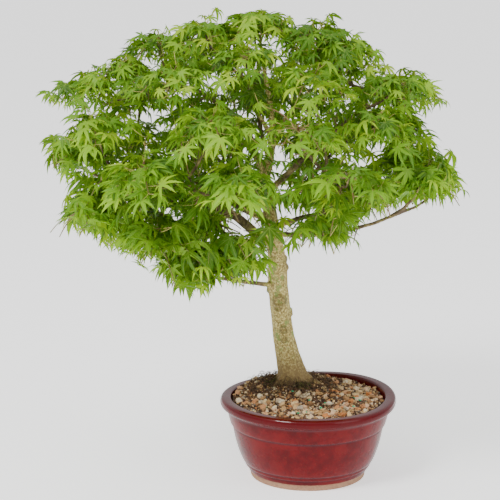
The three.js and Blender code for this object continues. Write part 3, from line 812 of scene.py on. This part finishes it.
# The crown's outline seen from the front, clockwise: distance to the right of the pot's axis, and height.
CROWN_OUTLINE = [
    (-0.139, 0.192), (-0.178, 0.233), (-0.232, 0.262), (-0.268, 0.275), (-0.277, 0.336),
    (-0.300, 0.370), (-0.252, 0.388), (-0.296, 0.424), (-0.286, 0.447), (-0.247, 0.452),
    (-0.217, 0.492), (-0.161, 0.521), (-0.057, 0.537), (0.046, 0.514), (0.086, 0.482),
    (0.145, 0.447), (0.150, 0.419), (0.134, 0.399), (0.157, 0.359), (0.174, 0.338), (0.160, 0.315),
    (0.072, 0.298), (0.040, 0.260), (-0.010, 0.260), (-0.032, 0.270), (-0.053, 0.221),
    (-0.115, 0.211),
]
# Where the crown's inside shows: distance to the right, height, half width, half height, how many
# of the leaves are missing, and how far behind the pot's axis that reaches.
BARE_SPOTS = [
    (-0.036, 0.362, 0.030, 0.050, 0.95, 0.05), (-0.022, 0.288, 0.040, 0.024, 1.6, 0.3),
    (0.016, 0.346, 0.044, 0.026, 0.8, 0.04), (0.035, 0.303, 0.050, 0.020, 0.7, 0.3),
    (-0.076, 0.288, 0.036, 0.022, 1.4, 0.3), (-0.110, 0.250, 0.080, 0.040, 0.45, 0.3),
]
LOW_SHOOTS = [  # ends of the shoots along the lowest branch, from the pot's axis
    (-0.062, -0.030, 0.252), (-0.080, -0.045, 0.236), (-0.072, 0.000, 0.268),
    (-0.098, -0.060, 0.244), (-0.055, -0.010, 0.262), (-0.112, -0.030, 0.232),
    (-0.090, -0.015, 0.250), (-0.142, -0.055, 0.228),
]
shoots, stalks = Strands(), Strands()


def tree_of(places):
    """A tree that finds the nearest of the places."""
    tree = KDTree(len(places))
    for i, place in enumerate(places):
        tree.insert(place, i)
    tree.balance()
    return tree


def in_crown(place):
    """Whether a place is inside the crown's outline, seen from a little above the front."""
    x = (place.x - pot_middle.x) / (1 + (place.y - pot_middle.y) / VIEW_DISTANCE)
    height = place.z + VIEW_SLOPE * (place.y - pot_middle.y)
    inside = False
    for (x1, z1), (x2, z2) in zip(CROWN_OUTLINE, CROWN_OUTLINE[1:] + CROWN_OUTLINE[:1]):
        if (z1 > height) != (z2 > height) and x < x1 + (x2 - x1) * (height - z1) / (z2 - z1):
            inside = not inside
    return inside


def bareness(place):
    """The share of leaves missing at a place, where the crown's inside shows from the front."""
    x, height = place.x - pot_middle.x, place.z + VIEW_SLOPE * (place.y - pot_middle.y)
    return max(
        missing * math.exp(-(((x - spot) / wide) ** 2) - ((height - level) / tall) ** 2)
        * (place.y - pot_middle.y < back)
        for spot, level, wide, tall, missing, back in BARE_SPOTS
    )


def leafy_shoot(path, pairs, chance, light, first=0.12):
    """A shoot along a path, with pairs of leaves opposite each other and three at its tip. The
    leaves nearest the tip are young, small and light."""
    shoots.add(path, 0.0009, 0.0005)
    leaves = []
    steps = len(path) - 1
    for i in range(pairs + 1):
        share = first + (1 - first) * i / pairs
        step = min(int(share * steps), steps - 1)
        joint = path[step].lerp(path[step + 1], share * steps - step)
        ahead = (path[step + 1] - path[step]).normalized()
        side = ahead.cross(UP).normalized()
        for hand in (-1, 1) if i < pairs else (-0.9, 0.1, 0.9):
            if chance.random() < 0.1:
                continue
            young = chance.random() < (0.05 if i < pairs - 1 else 0.35)
            lead = (
                ahead * chance.uniform(0.3, 1.0) + side * hand * chance.uniform(0.6, 1.1)
                + UP * chance.uniform(-0.2, 0.8)
            )
            base = joint + lead.normalized() * chance.uniform(0.006, 0.019) * (0.6 if young else 1)
            flat = Vector((lead.x + chance.uniform(-0.4, 0.4), lead.y + chance.uniform(-0.4, 0.4), 0))
            flat.normalize()
            droop = math.radians(chance.uniform(-12, 58))
            aim = flat * math.cos(droop) - UP * math.sin(droop)
            up = Vector((chance.uniform(-0.6, 0.6), chance.uniform(-0.6, 0.6), 1))
            face = (up - aim * up.dot(aim)).normalized()
            size = LEAF_LENGTH * (chance.uniform(0.5, 0.75) if young else chance.uniform(0.75, 1.2))
            size *= 1.3 - 0.5 * min(max((joint.z - 0.24) / 0.2, 0), 1)
            if chance.random() < bareness(base + aim * size * 0.5):
                continue
            tip = base + aim * size - UP * 0.4 * size
            lift = next((rise for rise in LEAF_LIFTS if in_crown(tip + UP * rise)), None)
            if lift is None or abs(tip.x) > HALF_WIDTH or abs(tip.y) > HALF_DEPTH:
                continue
            if max(tip.z, base.z) + lift > TALLEST:
                continue
            base += UP * lift
            tint = chance.uniform(0.66, 0.95) if young else chance.gauss(light + 0.12 * share, 0.22)
            tint = min(max(tint, 0), 0.95 if young else 0.9)
            leaves.append({
                "place": tuple(base), "aim": tuple(aim), "face": tuple(face), "size": size,
                "pick": chance.randrange(10), "tint": tint,
            })
            stalks.add(bent(joint, base, -0.0008, 3), 0.0004, 0.0003, 3)
    return leaves


SPRAY_SHOOTS, SHOOT_PAIRS = 7, 5  # shoots in each spray, and pairs of leaves on each
leaf_nodes = sorted(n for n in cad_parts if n.startswith("leaves_"))
wood_tree = tree_of([vertex.co for vertex in wood.data.vertices])
trunk_top = trunk_middle(0.3)

leaf_points = {}
for number, node in enumerate(leaf_nodes):
    chance = random.Random(100 + number)
    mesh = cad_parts[node].data
    axis = sum((p.normal * p.area for p in mesh.polygons if p.normal.z > 0.2), Vector()).normalized()
    crest = max((v.co for v in mesh.vertices), key=lambda co: co.dot(axis)).copy()
    low, high = (Vector(corner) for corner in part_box(node))
    reach = max(high.x - low.x, high.y - low.y) / 2
    away = Vector((crest.x - trunk_top.x, crest.y - trunk_top.y, 0)).normalized()
    across = axis.orthogonal().normalized()
    light = chance.gauss(0.46, 0.06)
    turn = chance.uniform(0, 2 * math.pi)
    root = crest - axis * 0.004
    leader = [root, root + axis * 0.005, root + axis * 0.010 + across * 0.004]
    points = leafy_shoot(leader, 1, chance, light, first=0.3)
    for i in range(SPRAY_SHOOTS):
        angle = turn + 2 * math.pi * (i + chance.uniform(-0.3, 0.3)) / SPRAY_SHOOTS
        out = Matrix.Rotation(angle, 3, axis) @ across
        length = reach * chance.uniform(0.62, 0.95) * (0.86 + 0.14 * out.dot(away))
        hang = 0.30 * length
        path = [
            root + out * length * t - axis * hang * t * t + UP * 0.004 * math.sin(math.pi * t)
            for t in (j / 6 for j in range(7))
        ]
        points += leafy_shoot(path, SHOOT_PAIRS, chance, light)
    leaf_points[node] = points

# Shoots along the lowest branch, and from the limbs into whatever space the sprays leave open.
chance = random.Random(5)
inner_points = []
for x, y, z in LOW_SHOOTS:
    end = pot_middle + Vector((x, y, z))
    start = wood_tree.find(end + Vector((0.012, 0.015, 0)))[0]
    path = bent(start, end, 0.1 * (end - start).length, 7)
    inner_points += leafy_shoot(path, 3, chance, 0.46, first=0.35)
filled = [Vector(leaf["place"]) for points in leaf_points.values() for leaf in points]
leaf_tree = tree_of(filled)
INNER_TRIES = 9000
LEAF_SPACE, SHOOT_SPACE = 0.021, 0.032  # least room round the end of an inner shoot
ends = []
for _ in range(INNER_TRIES):
    spot = Vector((
        -0.06 + chance.uniform(-0.2, 0.2), chance.uniform(-0.16, 0.16), chance.uniform(0.24, 0.5)
    ))
    end = pot_middle + spot
    share = Vector((
        (end.x - pot_middle.x + 0.06) / 0.2, (end.y - pot_middle.y) / 0.17, (end.z - 0.30) / 0.2
    ))
    if share.length > 1 or not in_crown(end) or leaf_tree.find(end)[2] < LEAF_SPACE:
        continue
    if any((end - other).length < SHOOT_SPACE for other in ends):
        continue
    start, _, distance = wood_tree.find(end - Vector((0, 0, 0.015)))
    if not 0.014 < distance < 0.085 or (start - trunk_middle(start.z)).length < 0.022:
        continue
    ends.append(end)
    length = (end - start).length
    path = bent(start, end, 0.12 * length, 6)
    # Painted shade: leaves on these inner shoots get a darker tint, for the shade inside the crown.
    inner_points += leafy_shoot(path, 2, chance, 0.28, first=max(0.3, 1 - 0.028 / length))

young_bark = Finish("young_bark")
young_bark.set(
    Base_Color=young_bark.blend(
        young_bark.between(young_bark.cloud(160), 0.35, 0.65), tone(120, 84, 52), tone(118, 122, 58)
    ),
    Roughness=young_bark.between(young_bark.cloud(600), 0.3, 0.7, 0.45, 0.65),
    Normal=young_bark.bumps(young_bark.cloud(1800), 0.0001),
)
shoot_piece = new_piece("shoots", shoots.vertices, shoots.faces, young_bark.material)
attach(shoot_piece, "root")

stalk_skin = Finish("stalk_skin")
stalk_skin.set(
    Base_Color=stalk_skin.blend(
        stalk_skin.between(stalk_skin.cloud(90), 0.35, 0.65), tone(158, 162, 72), tone(196, 176, 104)
    ),
    Roughness=stalk_skin.between(stalk_skin.cloud(500), 0.3, 0.7, 0.4, 0.6),
    Normal=stalk_skin.bumps(stalk_skin.cloud(1500), 0.0001),
)
stalk_piece = new_piece("leaf_stalks", stalks.vertices, stalks.faces, stalk_skin.material)
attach(stalk_piece, "root")

# ---- The leaves: palmate, five long toothed lobes and two short ones ----
# Each lobe is folded up a little on both sides of its midrib, and curls down towards its tip.
# Lobes are [angle from the middle one in degrees, length, half width], with the middle one 1 long.
LEAF_LOBES = [
    (-118, 0.34, 0.042), (-78, 0.74, 0.068), (-39, 0.94, 0.084), (0, 1.0, 0.088), (39, 0.94, 0.084),
    (78, 0.74, 0.068), (118, 0.34, 0.042),
]
LOBE_EDGE = [(0.46, 1.0), (0.57, 0.80), (0.62, 0.86), (0.80, 0.42)]  # along it, and share of its half width
SINUS = 0.22  # how far out the notches between lobes reach in


def leaf_shape(name, seed):
    chance = random.Random(seed)
    fold, curl, twist = chance.uniform(0.35, 0.95), chance.uniform(0.15, 1.7), chance.uniform(-0.3, 0.3)
    lobes = []
    for angle, length, half in LEAF_LOBES:
        lobes.append((
            math.radians(angle + chance.uniform(-6, 6)), length * chance.uniform(0.9, 1.08),
            half * chance.uniform(0.85, 1.15), chance.uniform(-0.25, 0.4),
        ))

    def spot(angle, along, across, bend):
        """A point of a lobe: along it and across it, on its curled and folded surface."""
        curve = (curl + bend) * along
        out, drop = along * math.cos(0.5 * curve), along * math.sin(0.5 * curve)
        return Vector((
            math.sin(angle) * out + math.cos(angle) * across,
            math.cos(angle) * out - math.sin(angle) * across,
            abs(across) * fold - drop + twist * across,
        ))

    vertices, faces, places = [Vector((0, 0, 0))], [], [(0.5, 0.0)]

    def put(place, u, v):
        vertices.append(place)
        places.append((u, v))
        return len(vertices) - 1

    notches = [put(spot(lobes[0][0] - 0.5, 0.09, 0, 0), 0.0, 0.1)]
    for (a, la, _, ba), (b, lb, _, bb) in zip(lobes, lobes[1:]):
        notch = spot((a + b) / 2, SINUS * (la + lb) / 2 + 0.02, 0, (ba + bb) / 2)
        notches.append(put(notch + Vector((0, 0, 0.02)), 0.0, 0.25))
    notches.append(put(spot(lobes[-1][0] + 0.5, 0.09, 0, 0), 0.0, 0.1))
    for i, (angle, length, half, bend) in enumerate(lobes):
        stations = LOBE_EDGE[::2] if length < 0.5 else LOBE_EDGE
        rib = [put(spot(angle, length * 0.24, 0, bend), 0.5, 0.24)]
        left, right = [notches[i]], [notches[i + 1]]
        for along, width in stations:
            rib.append(put(spot(angle, length * along, 0, bend), 0.5, along))
            left.append(put(spot(angle, length * along, -half * width, bend), 0.0, along))
            right.append(put(spot(angle, length * along, half * width, bend), 1.0, along))
        tip = put(spot(angle, length, 0, bend), 0.5, 1.0)
        faces += [(0, rib[0], left[0]), (0, right[0], rib[0])]
        for k in range(len(rib) - 1):
            faces.append((left[k], rib[k], rib[k + 1], left[k + 1]))
            faces.append((rib[k], right[k], right[k + 1], rib[k + 1]))
        faces += [(left[-1], rib[-1], tip), (rib[-1], right[-1], tip)]
    leaf = new_piece(name, vertices, faces)
    sheet = leaf.data.uv_layers.new(name="lobe")
    for loop in leaf.data.loops:
        sheet.data[loop.index].uv = places[loop.vertex_index]
    return leaf


leaf_shapes = shape_set("leaf_shapes", [leaf_shape(f"leaf_{i}", 60 + i) for i in range(10)])

leaf_skin = Finish("leaf_skin")
leaf_tint = leaf_skin.painted("tint")
lobe_place = leaf_skin.node("ShaderNodeUVMap", {"uv_map": "lobe"}, {})
across = leaf_skin.node("ShaderNodeSeparateXYZ", {}, {0: lobe_place}, 0)
midrib = leaf_skin.between((across - 0.5) * (across - 0.5), 0.0, 0.012, 1.0, 0.0)
leaf_colour = leaf_skin.ramp(
    leaf_tint + (leaf_skin.cloud(45, 3.0) - 0.5) * 0.3,
    [
        (0.0, tone(38, 74, 8)), (1.0, tone(190, 214, 46)), (0.3, tone(68, 116, 12)),
        (0.55, tone(102, 152, 20)), (0.8, tone(144, 188, 34)),
    ],
)
leaf_colour = leaf_skin.blend(midrib * 0.35, leaf_colour, tone(168, 190, 92))
leaf_skin.set(
    Base_Color=leaf_colour,
    Roughness=leaf_skin.between(leaf_skin.cloud(300), 0.3, 0.7, 0.38, 0.55),
    Normal=leaf_skin.bumps(leaf_skin.cloud(700, 3.0) * 0.5 + midrib * 0.5, 0.0002),
)
leaf_skin.shader.inputs["Specular IOR Level"].default_value = 0.3
GLOW_SHARE = 0.34  # of the light, which comes through a leaf from behind
glow_colour = leaf_skin.blend(0.5, leaf_colour, tone(170, 210, 40))
glow = leaf_skin.node("ShaderNodeBsdfTranslucent", {}, {"Color": glow_colour})
surface = Number(leaf_skin, leaf_skin.shader.outputs[0])
both = leaf_skin.node("ShaderNodeMixShader", {}, {0: GLOW_SHARE, 1: surface, 2: glow})
leaf_skin.put(leaf_skin.tree.nodes["Material Output"].inputs["Surface"], both)


def leaves(name, points, seed):
    return scattered(name, points, leaf_shapes, leaf_skin.material, turn=0.16, seed=seed, smooth=False)


for number, node in enumerate(leaf_nodes):
    spray = leaves(f"spray_{node[7:]}", leaf_points[node], number)
    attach(spray, "root")
    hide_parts(node)
inner_leaves = leaves("inner_leaves", inner_points, 99)
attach(inner_leaves, "root")

# ---- The moss and loose fibres round the foot of the trunk ----
# Cushions of short upright moss, and dark root hairs and dead fibres that curl out of the mix.
MOSS_TUFTS, ROOT_FIBRES = 300, 420
moss_green = Finish("moss_green")
moss_tint = moss_green.painted("tint")
moss_green.set(
    Base_Color=moss_green.ramp(
        moss_tint,
        [
            (0.0, tone(52, 38, 24)), (1.0, tone(134, 138, 66)),
            (0.5, tone(92, 74, 44)), (0.75, tone(104, 102, 48)),
        ],
    ),
    Roughness=0.9,
    Normal=moss_green.bumps(moss_green.cloud(1500), 0.0002),
)
tuft = Strands()
for i in range(5):
    angle = 2 * math.pi * i / 5
    lean = Vector((0.35 * math.cos(angle), 0.35 * math.sin(angle), 1))
    spread = Vector((0.2 * math.cos(angle), 0.2 * math.sin(angle), 0))
    tuft.add([Vector(), lean * 0.5, lean + spread], 0.09, 0.02, 3)
tufts = shape_set("tufts", [new_piece("tuft_0", tuft.vertices, tuft.faces)])
for number, node in enumerate(n for n in sorted(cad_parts) if n.startswith("moss_")):
    chance = random.Random(300 + number)
    low, high = (Vector(corner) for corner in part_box(node))
    middle, reach = (low + high) / 2, (high.x - low.x) / 2
    points = []
    for _ in range(MOSS_TUFTS):
        angle, out = chance.uniform(0, 2 * math.pi), reach * chance.random() ** 0.6
        x, y = middle.x + out * math.cos(angle), middle.y + out * math.sin(angle)
        points.append({
            "place": (x, y, ground(x, y) + 0.0006 + 0.0022 * (1 - out / reach)),
            "aim": (chance.uniform(-1, 1), chance.uniform(-1, 1), 0),
            "face": (chance.uniform(-0.5, 0.5), chance.uniform(-0.5, 0.5), 1),
            "size": chance.uniform(0.0011, 0.0024), "pick": 0, "tint": chance.random(),
        })
    cushion = scattered(f"moss_cushion_{number}", points, tufts, moss_green.material, turn=0.3, seed=number)
    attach(cushion, "root")
    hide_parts(node)

fibre = Finish("fibre")
fibre.set(
    Base_Color=fibre.blend(fibre.between(fibre.cloud(200), 0.35, 0.65), tone(58, 42, 28), tone(126, 98, 66)),
    Roughness=fibre.between(fibre.cloud(500), 0.3, 0.7, 0.7, 0.9),
)
hairs = Strands()
chance = random.Random(21)
for _ in range(ROOT_FIBRES):
    angle, out = chance.uniform(0, 2 * math.pi), 0.017 + 0.036 * chance.random() ** 1.3
    start = TRUNK_FOOT + Vector((out * math.cos(angle), out * math.sin(angle), 0))
    start.z = ground(start.x, start.y)
    heading = chance.uniform(0, 2 * math.pi)
    length = chance.uniform(0.005, 0.016)
    end = start + Vector((length * math.cos(heading), length * math.sin(heading), 0))
    rise = chance.uniform(0, 0.004) if chance.random() < 0.8 else chance.uniform(0.003, 0.010)
    end.z = ground(end.x, end.y) + rise
    hairs.add(bent(start, end, chance.uniform(0.0015, 0.006), 6), 0.00034, 0.0002, 3)
fibres = new_piece("root_fibres", hairs.vertices, hairs.faces, fibre.material)
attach(fibres, "root")
